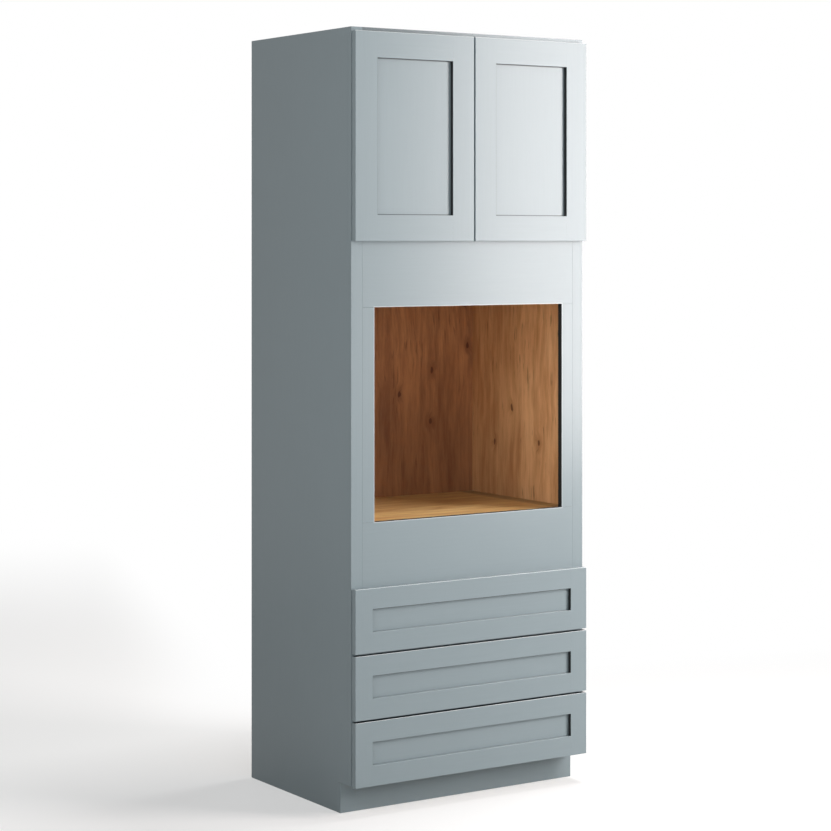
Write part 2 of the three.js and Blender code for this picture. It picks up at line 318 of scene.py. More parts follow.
@dataclass(frozen=True)
class SatinPaint(Finish):
    """Sprayed satin paint over wood, whose grain shows through faintly.

    Attributes:
        colour: The paint's colour.
        grain: The axis that the wood's grain runs along.
        roughness: How matte the paint is.
        gloss: Its Specular IOR Level.
        shades: The painted shade and painted highlights on it.
        towards: The normal of faces painted near-black as deep shade and made matte, if there are any.
        in_gap: Whether shade is painted where another piece comes close.
    """

    colour: Colour
    grain: Axis = Axis.Z
    roughness: float = 0.262
    gloss: float = 0.32
    shades: tuple[Shade, ...] = ()
    towards: Triple | None = None
    in_gap: bool = False

    GRAIN_DEPTH: ClassVar[float] = 0.04 * MM
    PEEL_DEPTH: ClassVar[float] = 0.012 * MM
    GAP_REACH: ClassVar[float] = 20 * MM
    GAP_COLOUR: ClassVar[Colour] = srgb(24, 26, 28)
    DEEP_SHADE: ClassVar[Colour] = srgb(30, 32, 34)
    SHADE_DULLNESS: ClassVar[float] = 0.65

    def shader(self, graph: Graph) -> Value:
        """Builds the paint with its mottle, telegraphed grain, spray texture, painted shade and painted
        highlights.

        Args:
            graph: The material's graph.

        Returns:
            The shader.
        """
        where = graph.coordinates()
        grain = graph.noise(where.stretched(self.grain, 260, 7), detail=3)
        cloud = graph.noise(where * 3.1, detail=2)
        peel = graph.noise(where * 520, detail=1)
        colour = graph.toned(self.colour, 0.955 + grain * 0.05 + cloud * 0.04)
        roughness = self.roughness - 0.005 + cloud * 0.01
        for shade in self.shades:
            colour = shade.over(graph, colour)
        # Painted shade: near-black where another piece comes close, as in the gaps between drawer fronts.
        if self.in_gap:
            openness = graph.node(
                "ShaderNodeAmbientOcclusion", {"samples": 8}, {"Distance": self.GAP_REACH}, "AO",
            )
            colour = graph.mix(openness.above(0.95, 0.75), colour, self.GAP_COLOUR)
        # Painted shade: faces that point along towards get the deep shade colour and more roughness.
        if self.towards:
            normal = graph.node("ShaderNodeTexCoord", {}, {}, "Normal")
            shaded = graph.measured("DOT_PRODUCT", normal, self.towards).above(0.7, 0.9)
            colour = graph.mix(shaded, colour, self.DEEP_SHADE)
            roughness = roughness + shaded * self.SHADE_DULLNESS
        fine = graph.bump(peel, self.PEEL_DEPTH)
        inputs = {
            "Base Color": colour,
            "Roughness": roughness,
            "Normal": graph.bump(grain, self.GRAIN_DEPTH, Normal=fine),
            "Specular IOR Level": self.gloss,
        }
        return graph.node("ShaderNodeBsdfPrincipled", {}, inputs)


@dataclass(frozen=True)
class RusticWood(Finish):
    """Brown veneer with streaks, flecks and small knots under a clear satin coat.

    Attributes:
        light: The palest wood.
        dark: The deepest streaks.
        along: The axis that the grain runs along.
        across: The axis across the grain on the board's face.
        knots: How strongly knots show, 0 to 1.
        shift: Moves the pattern, so that no two boards match.
        roughness: How matte the coat is.
        shades: The painted shade on it.
    """

    light: Colour
    dark: Colour
    along: Axis
    across: Axis
    knots: float = 1.0
    shift: float = 0.0
    roughness: float = 0.5
    shades: tuple[Shade, ...] = ()

    KNOTS_ACROSS: ClassVar[float] = 7.5
    KNOTS_ALONG: ClassVar[float] = 4.5
    KNOT_COLOUR: ClassVar[Colour] = srgb(72, 34, 20)
    FIBRE_DEPTH: ClassVar[float] = 0.05 * MM

    def shader(self, graph: Graph) -> Value:
        """Builds the veneer with its figure and painted shade.

        Args:
            graph: The material's graph.

        Returns:
            The shader.
        """
        where = graph.coordinates() + (self.shift, self.shift * 0.7, self.shift * 1.3)
        reach = self._reach_of_knots(graph, where)
        swell = reach.above(0.2, 0.04) * self.knots
        eye = reach.above(0.055, 0.03) * self.knots
        bent = self._bent(graph, where, swell)
        bands = graph.noise(bent.stretched(self.along, 10, 1.6), detail=3, roughness=0.6)
        streaks = graph.noise(bent.stretched(self.along, 52, 5), detail=5, roughness=0.7)
        fibres = graph.noise(bent.stretched(self.along, 420, 18), detail=3)
        clusters = graph.noise(where * 6.5, detail=1).above(0.42, 0.62)
        flecks = graph.noise(bent.stretched(self.along, 110, 13), detail=2).above(0.6, 0.7) * clusters
        depth = (bands * 0.55 + streaks * 0.75 - 0.15 + swell * 0.12).above(0.3, 0.7)
        colour = graph.toned(graph.mix(depth, self.light, self.dark), 0.88 + fibres * 0.24)
        colour = graph.mix(flecks * 0.42, colour, self.KNOT_COLOUR)
        colour = graph.mix(eye * 0.76, colour, self.KNOT_COLOUR)
        for shade in self.shades:
            colour = shade.over(graph, colour)
        inputs = {
            "Base Color": colour,
            "Roughness": self.roughness - 0.06 + fibres * 0.12,
            "Normal": graph.bump(fibres - flecks * 0.5, self.FIBRE_DEPTH),
            "Coat Weight": 0.12,
            "Coat Roughness": 0.3,
        }
        return graph.node("ShaderNodeBsdfPrincipled", {}, inputs)

    def _reach_of_knots(self, graph: Graph, where: Value) -> Value:
        """Scatters the knots over the board, in cells of which some stay empty.

        Args:
            graph: The material's graph.
            where: The point.

        Returns:
            The distance to the nearest knot in cells, over 1 where that cell has none.
        """
        across, along = where.part(self.across), where.part(self.along)
        spread = {"X": across * self.KNOTS_ACROSS, "Y": along * self.KNOTS_ALONG}
        flat = graph.node("ShaderNodeCombineXYZ", {}, spread)
        feed = {"Vector": flat + graph.noise(flat * 6, detail=1) * 0.1, "Scale": 1.0}
        cells = {"voronoi_dimensions": "2D"}
        distance = graph.node("ShaderNodeTexVoronoi", cells, feed, "Distance")
        chance = graph.node("ShaderNodeTexVoronoi", cells, feed, "Color").part(Axis.X)
        return distance + chance.above(0.4, 0.41)

    def _bent(self, graph: Graph, where: Value, swell: Value) -> Value:
        """Pushes the grain aside round the knots, and lets it waver elsewhere.

        Args:
            graph: The material's graph.
            where: The point.
            swell: How close a knot is, 0 to 1.

        Returns:
            The point to take the grain from.
        """
        waver = graph.noise(where.stretched(self.along, 6, 3.5), detail=3) * 0.04
        push = [0.0, 0.0, 0.0]
        push[self.across.value] = 1.0
        return where + (swell * 0.012 + waver) * tuple(push)


@dataclass(frozen=True)
class ZincSteel(Finish):
    """Zinc-plated pressed steel, with faint rolling marks.

    Attributes:
        colour: The plating's reflection colour.
        roughness: How matte the plating is.
    """

    colour: Colour = (0.63, 0.64, 0.65)
    roughness: float = 0.3

    def shader(self, graph: Graph) -> Value:
        """Builds the plating.

        Args:
            graph: The material's graph.

        Returns:
            The shader.
        """
        where = graph.coordinates()
        cloud = graph.noise(where * 90, detail=3)
        rolled = graph.noise(where.stretched(Axis.Y, 900, 30), detail=2)
        inputs = {
            "Base Color": graph.toned(self.colour, 0.9 + cloud * 0.2),
            "Metallic": 1.0,
            "Roughness": self.roughness - 0.06 + cloud * 0.12,
            "Normal": graph.bump(rolled, 0.01 * MM),
        }
        return graph.node("ShaderNodeBsdfPrincipled", {}, inputs)


@dataclass(frozen=True)
class SoftGel(Finish):
    """Milky soft plastic of a stick-on bumper.

    Attributes:
        colour: The gel's colour.
    """

    colour: Colour = (0.7, 0.73, 0.74)

    def shader(self, graph: Graph) -> Value:
        """Builds the gel.

        Args:
            graph: The material's graph.

        Returns:
            The shader.
        """
        cloud = graph.noise(graph.coordinates() * 300, detail=1)
        inputs = {
            "Base Color": graph.toned(self.colour, 0.92 + cloud * 0.16),
            "Roughness": 0.22 + cloud * 0.08,
            "Subsurface Weight": 0.3,
            "Subsurface Scale": 2 * MM,
        }
        return graph.node("ShaderNodeBsdfPrincipled", {}, inputs)


def seen_by_eye(graph: Graph) -> Value:
    """Marks the rays that show the backdrop.

    Args:
        graph: The graph of the floor or the world.

    Returns:
        1 for rays from the camera, off gloss and through glass, 0 for others.
    """
    rays = ("Is Camera Ray", "Is Glossy Ray", "Is Transmission Ray")
    camera, glossy, through = (graph.node("ShaderNodeLightPath", {}, {}, name) for name in rays)
    return graph.node("ShaderNodeMath", {"operation": "MINIMUM"}, {0: camera + glossy + through, 1: 1.0})


@dataclass(frozen=True)
class PaleFloor(Finish):
    """Studio floor that fades into a white backdrop, and keeps the cabinet's soft shadow.

    Attributes:
        middle: The middle of the part that isn't faded.
        near: The distance from it where the fade starts.
        far: The distance where the floor is plain white.
        lift: How much of plain white is added where the floor is seen.
        edge: A point on the line past which the floor behind the cabinet is white.
        beyond: The direction across that line, into the white.
    """

    middle: Triple = (-0.8, 1.2, 0.0)
    near: float = 0.9
    far: float = 5.6
    lift: float = 0.45
    edge: Triple = (-0.15, 1.55, 0.0)
    beyond: Triple = (0.894, -0.447, 0.0)

    def shader(self, graph: Graph) -> Value:
        """Builds the floor's paint, and the white that it fades into.

        Args:
            graph: The material's graph.

        Returns:
            The shader.
        """
        seen, place, white = seen_by_eye(graph), graph.coordinates(), (1.0, 1.0, 1.0)
        away = graph.measured("LENGTH", place - self.middle)
        past = graph.measured("DOT_PRODUCT", place - self.edge, self.beyond)
        behind = past.above(-0.3, 0.45) * place.part(Axis.Y).above(0.5, 1.7)
        paint = graph.node("ShaderNodeBsdfDiffuse", {}, {"Color": (0.5, 0.5, 0.495)})
        glow = graph.node("ShaderNodeEmission", {}, {"Color": white, "Strength": self.lift})
        backdrop = graph.node("ShaderNodeEmission", {}, {"Color": white, "Strength": 1.0})
        lifted = graph.node("ShaderNodeAddShader", {}, {0: paint, 1: glow})
        near = graph.node("ShaderNodeMixShader", {}, {0: seen, 1: paint, 2: lifted})
        fade = (away.above(self.near, self.far) + behind).above(0.0, 1.0) * seen
        return graph.node("ShaderNodeMixShader", {}, {0: fade, 1: near, 2: backdrop})


def oven_shade(axis: Axis, span: Span, share: float) -> Shade:
    """Painted shade, a deep brown that grows along one axis into the oven space."""
    return Shade(((axis, span),), share, srgb(60, 36, 24))


PAINT_COLOUR = srgb(132, 146, 151)
# Colour of painted highlights, on arrises and round the oven opening.
HIGHLIGHT_COLOUR = srgb(206, 214, 218)
# Colour of painted shadow lines and painted shade.
SHADE_LINE_COLOUR = srgb(30, 33, 35)
PAINT_UPRIGHT = SatinPaint("satin_paint_upright", PAINT_COLOUR, Axis.Z)
PAINT_FAR_SIDE = SatinPaint("satin_paint_far_side", PAINT_COLOUR, Axis.Z, 0.42, 0.12)
PAINT_LEVEL = SatinPaint("satin_paint_level", PAINT_COLOUR, Axis.X)
# Painted shade: near-black on the recess walls that face left or down.
PAINT_RECESS_SHADE = SatinPaint("satin_paint_recess_edge", srgb(34, 36, 38), Axis.Z, 0.5)
# Painted shade in the gaps, on the lower drawer fronts' top edges.
PAINT_GAP_SHADE = SatinPaint("satin_paint_gap", PAINT_COLOUR, Axis.X, in_gap=True)
# Painted highlight: a pale line on the fronts' top front arrises.
PAINT_ARRIS_HIGHLIGHT = SatinPaint("satin_paint_arris", HIGHLIGHT_COLOUR, Axis.X)
# Painted shade: a darker line on the inner arris at each recess's left edge.
PAINT_INNER_ARRIS_SHADE = SatinPaint("satin_paint_inner_arris", srgb(84, 92, 96), Axis.Z)
# Painted shade: the rail above the doors darkens towards the left.
PAINT_SHADED = SatinPaint(
    "satin_paint_shaded", PAINT_COLOUR, Axis.X,
    shades=(Shade(((Axis.X, (0.35, -0.35)),), 0.42, SHADE_LINE_COLOUR),),
)
# Painted shade: these woods darken lower down, towards the back and next to the right side.
BACK_WOOD = RusticWood(
    "rustic_wood_back", srgb(206, 150, 104), srgb(150, 102, 68), Axis.Z, Axis.X, shift=2.3,
    shades=(oven_shade(Axis.Z, (1.3, 0.96), 0.36),),
)
SIDE_WOOD = RusticWood(
    "rustic_wood_side", srgb(255, 211, 158), srgb(208, 158, 110), Axis.Z, Axis.Y, shift=5.1,
    shades=(oven_shade(Axis.Z, (1.2, 0.94), 0.12), oven_shade(Axis.Y, (-0.2, 0.16), 0.3)),
)
FLOOR_WOOD = RusticWood(
    "rustic_wood_level", srgb(255, 226, 160), srgb(208, 162, 100), Axis.X, Axis.Y, 0.5, 8.7,
    shades=(oven_shade(Axis.Y, (-0.2, 0.12), 0.34), oven_shade(Axis.X, (0.335, 0.37), 0.5)),
)
RAW_WOOD = RusticWood("raw_plywood", srgb(196, 160, 118), srgb(168, 130, 90), Axis.Z, Axis.X, 0.35, 3.9, 0.7)
TOP_WOOD = RusticWood(
    "raw_plywood_level", srgb(190, 155, 114), srgb(162, 125, 86), Axis.X, Axis.Y, 0.35, 3.9, 0.7,
)
DRAWER_WOOD_LONG = RusticWood(
    "drawer_wood_long", srgb(222, 190, 146), srgb(202, 166, 120), Axis.Y, Axis.Z, 0.0, 1.7, 0.45,
)
DRAWER_WOOD_WIDE = RusticWood(
    "drawer_wood_wide", srgb(222, 190, 146), srgb(202, 166, 120), Axis.X, Axis.Z, 0.0, 6.3, 0.45,
)
STEEL = ZincSteel("zinc_steel")
GEL = SoftGel("bumper_gel")


# --- Mesh work ------------------------------------------------------------------------------


def prism(outline: Sequence[Point], along: Axis, stations: Sequence[float], ease: float = 0.0,
          hard: Callable[[Vector], bool] | None = None) -> BMesh:
    """Builds a straight bar of any flat outline, with its sharp edges eased.

    Args:
        outline: The outline's points on the other two axes, in X, Y, Z order.
        along: The axis that the bar runs along.
        stations: Where it starts and ends, and any places between them where its easing changes.
        ease: The radius of its edges.
        hard: Says from an edge's middle that the edge isn't eased.

    Returns:
        The closed mesh.
    """
    bm = bmesh.new()
    index = along.value
    rings = [
        [bm.verts.new((*point[:index], height, *point[index:])) for point in outline] for height in stations
    ]
    bm.faces.new(reversed(rings[0]))
    bm.faces.new(rings[-1])
    for low, high in zip(rings, rings[1:]):
        for i in range(len(outline)):
            j = (i + 1) % len(outline)
            bm.faces.new((low[i], low[j], high[j], high[i]))
    bmesh.ops.recalc_face_normals(bm, faces=bm.faces)
    if ease > 0:
        sharp = [edge for edge in bm.edges if edge.calc_face_angle(0) > math.radians(20)]
        if hard:
            sharp = [edge for edge in sharp if not hard((edge.verts[0].co + edge.verts[1].co) / 2)]
        rounding = {"segments": 2, "profile": 0.5, "affect": "EDGES", "clamp_overlap": True}
        bmesh.ops.bevel(bm, geom=sharp, offset=ease, **rounding)
    return bm


def turned(profile: Sequence[Point], steps: int = 24) -> BMesh:
    """Turns a profile round the Z axis.

    Args:
        profile: (radius, height) points, from the axis and back to it.
        steps: Faces round the axis.

    Returns:
        The closed mesh.
    """
    bm = bmesh.new()
    rings: list[list[bmesh.types.BMVert]] = []
    angles = [2 * math.pi * i / steps for i in range(steps)]
    for radius, height in profile:
        round_axis = [(radius * math.cos(a), radius * math.sin(a), height) for a in angles]
        rings.append([bm.verts.new(place) for place in (round_axis if radius else [(0, 0, height)])])
    for low, high in zip(rings, rings[1:]):
        for i in range(steps):
            j = (i + 1) % steps
            ring = [low[i % len(low)], low[j % len(low)], high[j % len(high)], high[i % len(high)]]
            bm.faces.new(list(dict.fromkeys(ring)))
    bmesh.ops.recalc_face_normals(bm, faces=bm.faces)
    return bm


def rod(radius: float, length: float, steps: int, foot: Triple, turn: Matrix) -> BMesh:
    """Builds a round rod.

    Args:
        radius: Its radius.
        length: Its length.
        steps: Faces round it.
        foot: The middle of its start.
        turn: How it turns away from Z.

    Returns:
        The closed mesh.
    """
    bm = turned([(0, 0), (radius, 0), (radius, length), (0, length)], steps)
    bmesh.ops.transform(bm, matrix=Matrix.Translation(foot) @ turn, verts=bm.verts)
    return bm


def rectangle(first: Span, second: Span) -> list[Point]:
    """The outline of a rectangle from its two spans."""
    return [(first[0], second[0]), (first[1], second[0]), (first[1], second[1]), (first[0], second[1])]


def grown(span: Span, by: float) -> Span:
    """A span with both ends moved outwards."""
    return (span[0] - by, span[1] + by)


def middle_of(span: Span) -> float:
    """The middle of a span."""
    return sum(span) / 2


@dataclass
class Box:
    """A node's box at rest: its spans from left to right, front to back and bottom to top."""

    x: Span
    y: Span
    z: Span

    @classmethod
    def of(cls, node: str) -> "Box":
        """The box of a CAD node."""
        low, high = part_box(node)
        return cls((low.x, high.x), (low.y, high.y), (low.z, high.z))

    def block(self, ease: float = 0.0, by: float = 0.0) -> BMesh:
        """The box as a closed mesh, grown by some distance."""
        return prism(rectangle(grown(self.x, by), grown(self.y, by)), Axis.Z, grown(self.z, by), ease)

    def outer(self, side: Side) -> float:
        """The X of its end towards a side of the cabinet."""
        return self.x[0] if side is Side.LEFT else self.x[1]

    def inner(self, side: Side) -> float:
        """The X of its end away from a side of the cabinet."""
        return self.x[1] if side is Side.LEFT else self.x[0]


FaceChoice = Callable[[Vector, Vector], int]


class Workshop:
    """Makes objects from meshes and sets them in the frame."""

    made: ClassVar[int] = 0

    @staticmethod
    def mesh(name: str, bm: BMesh, finishes: Sequence[Finish] = ()) -> bpy.types.Mesh:
        """Makes a mesh in its finishes.

        Args:
            name: The mesh's name.
            bm: Its faces, which are freed.
            finishes: Its finishes.

        Returns:
            The mesh.
        """
        mesh = bpy.data.meshes.new(name)
        bm.to_mesh(mesh)
        bm.free()
        for finish in finishes:
            mesh.materials.append(finish.material())
        return mesh

    @staticmethod
    def show(name: str, data: bpy.types.ID) -> bpy.types.Object:
        """Puts a mesh, a lamp or a camera in the scene.

        Args:
            name: The object's name.
            data: What it shows.

        Returns:
            The object.
        """
        made = bpy.data.objects.new(name, data)
        bpy.context.scene.collection.objects.link(made)
        return made

    @classmethod
    def place(cls, name: str, bm: BMesh, body: str, finishes: Sequence[Finish], slot: str,
              choose: FaceChoice | None = None, replaces: Iterable[str] = ()) -> None:
        """Makes a piece from a mesh, finishes it and lets it ride on a body.

        Args:
            name: The piece's name.
            bm: Its mesh in the row frame, which is freed.
            body: The body that carries it.
            finishes: Its finishes.
            slot: The record's material slot.
            choose: Gives the index of a face's finish from its normal and its middle.
            replaces: CAD nodes that it stands for.
        """
        for face in bm.faces if choose else ():
            face.material_index = choose(face.normal, face.calc_center_median())
        cls.settle(cls.show(name, cls.mesh(name, bm, finishes)), body, slot, replaces)

    @classmethod
    def settle(cls, piece: bpy.types.Object, body: str, slot: str, replaces: Iterable[str] = ()) -> None:
        """Lets a piece ride on a body, and hides the CAD nodes that it stands for.

        Args:
            piece: The piece.
            body: The body that carries it.
            slot: Not used.
            replaces: CAD nodes that it stands for.
        """
        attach(piece, body)
        if replaces:
            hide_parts(*replaces)
        cls.made += 1
        LOG.info("piece %s on %s", piece.name, body)

    @staticmethod
    def modify(piece: bpy.types.Object, kind: str, **settings: Any) -> None:
        """Adds a modifier to a piece.

        Args:
            piece: The piece.
            kind: The modifier's type.
            settings: Its settings, in the order to set them.
        """
        modifier = piece.modifiers.new(kind.lower(), kind)
        for name, value in settings.items():
            setattr(modifier, name, value)

    @classmethod
    def carve(cls, bm: BMesh, cutters: Sequence[BMesh]) -> BMesh:
        """Cuts closed meshes out of another one.

        Args:
            bm: The mesh to cut, which is freed.
            cutters: The meshes to take away, which are freed.

        Returns:
            The cut mesh.
        """
        stock, *tools = [cls.show("cutting", cls.mesh("cutting", part)) for part in (bm, *cutters)]
        for tool in tools:
            cls.modify(stock, "BOOLEAN", operation="DIFFERENCE", solver="EXACT", object=tool)
        bpy.context.view_layer.update()
        cut = bmesh.new()
        cut.from_object(stock, bpy.context.evaluated_depsgraph_get())
        for leftover in (stock, *tools):
            bpy.data.meshes.remove(leftover.data)  # its object goes with it
        return cut

    @classmethod
    def dress(cls, node: str, finish: Finish, ease: float = 0.0) -> None:
        """Finishes a CAD node, and eases its edges.

        Args:
            node: The CAD node.
            finish: Its finish.
            ease: The radius of its edges.
        """
        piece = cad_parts[node]
        piece.data.materials.clear()
        piece.data.materials.append(finish.material())
        if ease > 0:
            flat, sharp = math.radians(0.5), math.radians(40)
            cls.modify(piece, "WELD", merge_threshold=0.01 * MM)
            cls.modify(piece, "DECIMATE", decimate_type="DISSOLVE", angle_limit=flat)
            cls.modify(piece, "BEVEL", width=ease, segments=2, limit_method="ANGLE", angle_limit=sharp)
        LOG.info("node %s in %s", node, finish.name)


# --- Sub-assemblies -------------------------------------------------------------------------


class FrontPaint(IntEnum):
    """The paints of a front's members, as their place in the piece's list."""

    FACE = 0
    RECESS = 1
    ARRIS = 2
    TOP = 3
    INNER_ARRIS = 4


@dataclass
class ShakerFront:
    """A door or drawer front: two stiles and two rails, glued flush, round a recessed panel.

    Attributes:
        name: The front's name, which starts its nodes' names.
        body: The body that it rides on.
        member: The width of its members.
        lines: How dark the painted shadow lines at the panel's left, head and foot are, 0 to 1.
        top: The finish of its top edge.
        cups: The nodes of the hinge cups that are let into it.
        ease: The radius of its edges.
        clearance: The room round the panel in its groove, and round the hinge cups.
        seam: The gap between a rail's end and its stile.
        line: The width of the painted shadow lines at the panel's edges.
        shaded_line: The width of the one at its right, along the recess wall painted in shade.
        bore: The radius of a hinge cup's bore.
        pocket: Half the width, half the height and the depth of the pocket for its wings.
    """

    name: str
    body: str
    member: float
    lines: Triple
    top: Finish
    cups: tuple[str, ...] = ()
    ease: float = 0.8 * MM
    clearance: float = 0.3 * MM
    seam: float = 0.05 * MM
    line: float = 2.8 * MM
    shaded_line: float = 1.2 * MM
    bore: float = 17.5 * MM
    pocket: Triple = (8 * MM, 26 * MM, 1 * MM)

    def build(self) -> None:
        """Builds the members and finishes the panel."""
        whole, panel = Box.of(f"{self.name}_frame"), Box.of(f"{self.name}_panel")
        inner = Box(grown(whole.x, -self.member), whole.y, grown(whole.z, -self.member))
        ends = grown(inner.x, -self.seam)
        shared = (PAINT_RECESS_SHADE, PAINT_ARRIS_HIGHLIGHT, self.top)

        def at_joint(middle: Vector) -> bool:
            """Whether a stile's edge lies where a rail meets the stile."""
            beyond = middle.z < inner.z[0] or middle.z > inner.z[1]
            return beyond and min(abs(middle.x - x) for x in inner.x) < MM

        def at_end(middle: Vector) -> bool:
            """Whether a rail's edge belongs to an end face."""
            return min(abs(middle.x - end) for end in ends) < 0.01 * MM

        for word, span in (
            ("left_stile", (whole.x[0], inner.x[0])), ("right_stile", (inner.x[1], whole.x[1])),
            ("lower_rail", (whole.z[0], inner.z[0])), ("upper_rail", (inner.z[1], whole.z[1])),
        ):
            cuts = [panel.block(by=self.clearance)]
            upright = word.endswith("stile")
            if upright:
                stations = (whole.z[0], *inner.z, whole.z[1])
                bar = prism(rectangle(span, whole.y), Axis.Z, stations, self.ease, at_joint)
                for cup in map(Box.of, self.cups):
                    if span[0] < middle_of(cup.x) < span[1]:
                        cuts += self._cup_cutters(cup)
                paints = (PAINT_UPRIGHT, *shared, PAINT_INNER_ARRIS_SHADE)
            else:
                bar = prism(rectangle(whole.y, span), Axis.X, ends, self.ease, at_end)
                paints = (PAINT_LEVEL, *shared)
            Workshop.place(
                f"{self.name}_{word}", Workshop.carve(bar, cuts), self.body, paints, "painted_wood",
                partial(self._paint_at, whole, inner, upright),
                [f"{self.name}_frame"] if word == "left_stile" else [],
            )
        Workshop.dress(f"{self.name}_panel", self._panel_paint(whole, inner))

    def _paint_at(self, whole: Box, inner: Box, upright: bool, normal: Vector, middle: Vector) -> FrontPaint:
        """Chooses the paint of one face of a member.

        Args:
            whole: The front's box.
            inner: The box between its members.
            upright: Whether the member is a stile.
            normal: The face's normal.
            middle: The face's middle.

        Returns:
            The paint: its own for the top, a painted highlight on the top front arris, painted shade on the
                inner arris and the recess walls facing left or down.
        """
        if whole.z[1] - middle.z < 2 * self.ease:
            if normal.z > 0.98:
                return FrontPaint.TOP
            return FrontPaint.ARRIS if normal.z > 0.2 and normal.y < -0.1 else FrontPaint.FACE
        if upright and normal.y < -0.1 and normal.x > 0.2 and abs(middle.x - inner.x[0]) < self.ease:
            return FrontPaint.INNER_ARRIS
        facing, off = (normal.x, middle.x - inner.x[1]) if upright else (normal.z, middle.z - inner.z[1])
        return FrontPaint.RECESS if facing < -0.9 and abs(off) < 0.2 * MM else FrontPaint.FACE

    def _panel_paint(self, whole: Box, inner: Box) -> SatinPaint:
        """Makes the panel's paint, with a painted shadow line at each edge of the recess.

        Args:
            whole: The front's box.
            inner: The recess's box.

        Returns:
            The paint.
        """
        left, above, below = self.lines
        edges = (
            (Axis.X, inner.x[0], self.line, left), (Axis.X, inner.x[1], -self.shaded_line, 1.0),
            (Axis.Z, inner.z[0], self.line, below), (Axis.Z, inner.z[1], -self.line, above),
        )
        shades = tuple(
            Shade(((axis, (edge + width, edge + 0.8 * width)),), share, SHADE_LINE_COLOUR)
            for axis, edge, width, share in edges
        )
        tall = whole.z[1] - whole.z[0] > whole.x[1] - whole.x[0]
        grain = Axis.Z if tall else Axis.X
        return SatinPaint(f"satin_paint_{self.name}_panel", PAINT_COLOUR, grain, shades=shades)

    def _cup_cutters(self, cup: Box) -> list[BMesh]:
        """Makes the bore and the pocket that a hinge cup sits in.

        Args:
            cup: The cup's box.

        Returns:
            Their closed meshes.
        """
        room = self.clearance
        x, back, z = middle_of(cup.x), cup.y[1], middle_of(cup.z)
        deep = back - cup.y[0] + room
        turn = Matrix.Rotation(-math.pi / 2, 4, "X")
        bore = rod(self.bore + room, deep + room, 48, (x, back - deep, z), turn)
        wide, high, low = self.pocket
        spans = (grown((x, x), wide + room), (back - low - room, back + room), grown((z, z), high + room))
        return [bore, Box(*spans).block()]


@dataclass
class DrawerBox:
    """A dovetailed drawer box.

    Attributes:
        name: The drawer's name.
        wall: The boards' thickness.
        tails: Dovetails at each corner.
        tail: Half the width of a tail's narrow end, as a share of their spacing.
        flare: How much a tail widens on each side.
        ease: The radius of the boards' edges.
        slack: The joint's clearance.
    """

    name: str
    wall: float = 12.7 * MM
    tails: int = 4
    tail: float = 0.28
    flare: float = 2 * MM
    ease: float = 0.4 * MM
    slack: float = 0.06 * MM

    def build(self) -> None:
        """Builds the four boards and finishes the bottom."""
        node = f"{self.name}_drawer_box"
        whole, bottom = Box.of(node), Box.of(f"{self.name}_drawer_bottom")
        inner = Box(grown(whole.x, -self.wall), grown(whole.y, -self.wall), whole.z)
        for word, span in (
            ("left_side", (whole.x[0], inner.x[0])), ("right_side", (inner.x[1], whole.x[1])),
            ("front", (whole.y[0], inner.y[0])), ("rear", (inner.y[1], whole.y[1])),
        ):
            groove = bottom.block(by=self.slack)
            if word.endswith("side"):
                board = Workshop.carve(prism(self._tailed(whole, inner.y), Axis.X, span), [groove])
                wood = DRAWER_WOOD_LONG
            else:
                board = prism(rectangle(grown(inner.x, -self.slack), span), Axis.Z, whole.z, self.ease)
                board = Workshop.carve(board, [groove])
                self._add_pins(board, whole, span if word == "rear" else span[::-1])
                wood = DRAWER_WOOD_WIDE
            Workshop.place(
                f"{self.name}_box_{word}", board, f"{self.name}_drawer", (wood,), "drawer_wood",
                replaces=[node] if word == "left_side" else [],
            )
        Workshop.dress(f"{self.name}_drawer_bottom", DRAWER_WOOD_WIDE)

    def _levels(self, whole: Box) -> list[Span]:
        """The heights where each tail's narrow end starts and ends."""
        pitch = (whole.z[1] - whole.z[0]) / self.tails
        return [grown((whole.z[0] + pitch * (i + 0.5),) * 2, pitch * self.tail) for i in range(self.tails)]

    def _tailed(self, whole: Box, inner: Span) -> list[Point]:
        """Draws a side with tails that widen towards both ends.

        Args:
            whole: The drawer box's box.
            inner: Its Y between the front and rear boards.

        Returns:
            The outline in Y and Z.
        """
        outline: list[Point] = []
        for root, tip, step in ((inner[1], whole.y[1], 1), (inner[0], whole.y[0], -1)):
            points: list[Point] = [(root, whole.z[0])]
            for low, high in self._levels(whole):
                points += [(root, low), (tip, low - self.flare), (tip, high + self.flare), (root, high)]
            outline += [*points, (root, whole.z[1])][::step]
        return outline

    def _add_pins(self, board: BMesh, whole: Box, y: Span) -> None:
        """Adds the pins between the tails at both ends of a front or rear board.

        Args:
            board: The board's mesh, which is added to.
            whole: The drawer box's box.
            y: The board's inner and outer face.
        """
        root, tip = y
        edges = [(whole.z[0],) * 2, *self._levels(whole), (whole.z[1],) * 2]
        for index, ((_, low), (high, _)) in enumerate(zip(edges, edges[1:])):
            low_tip = low + (self.flare if index > 0 else 0)
            high_tip = high - (self.flare if index < self.tails else 0)
            outline = [
                (root, low + self.slack), (tip, low_tip + self.slack),
                (tip, high_tip - self.slack), (root, high - self.slack),
            ]
            for x in ((whole.x[0], whole.x[0] + self.wall), (whole.x[1] - self.wall, whole.x[1])):
                pin = Workshop.mesh("pin", prism(outline, Axis.X, x))
                board.from_mesh(pin)
                bpy.data.meshes.remove(pin)


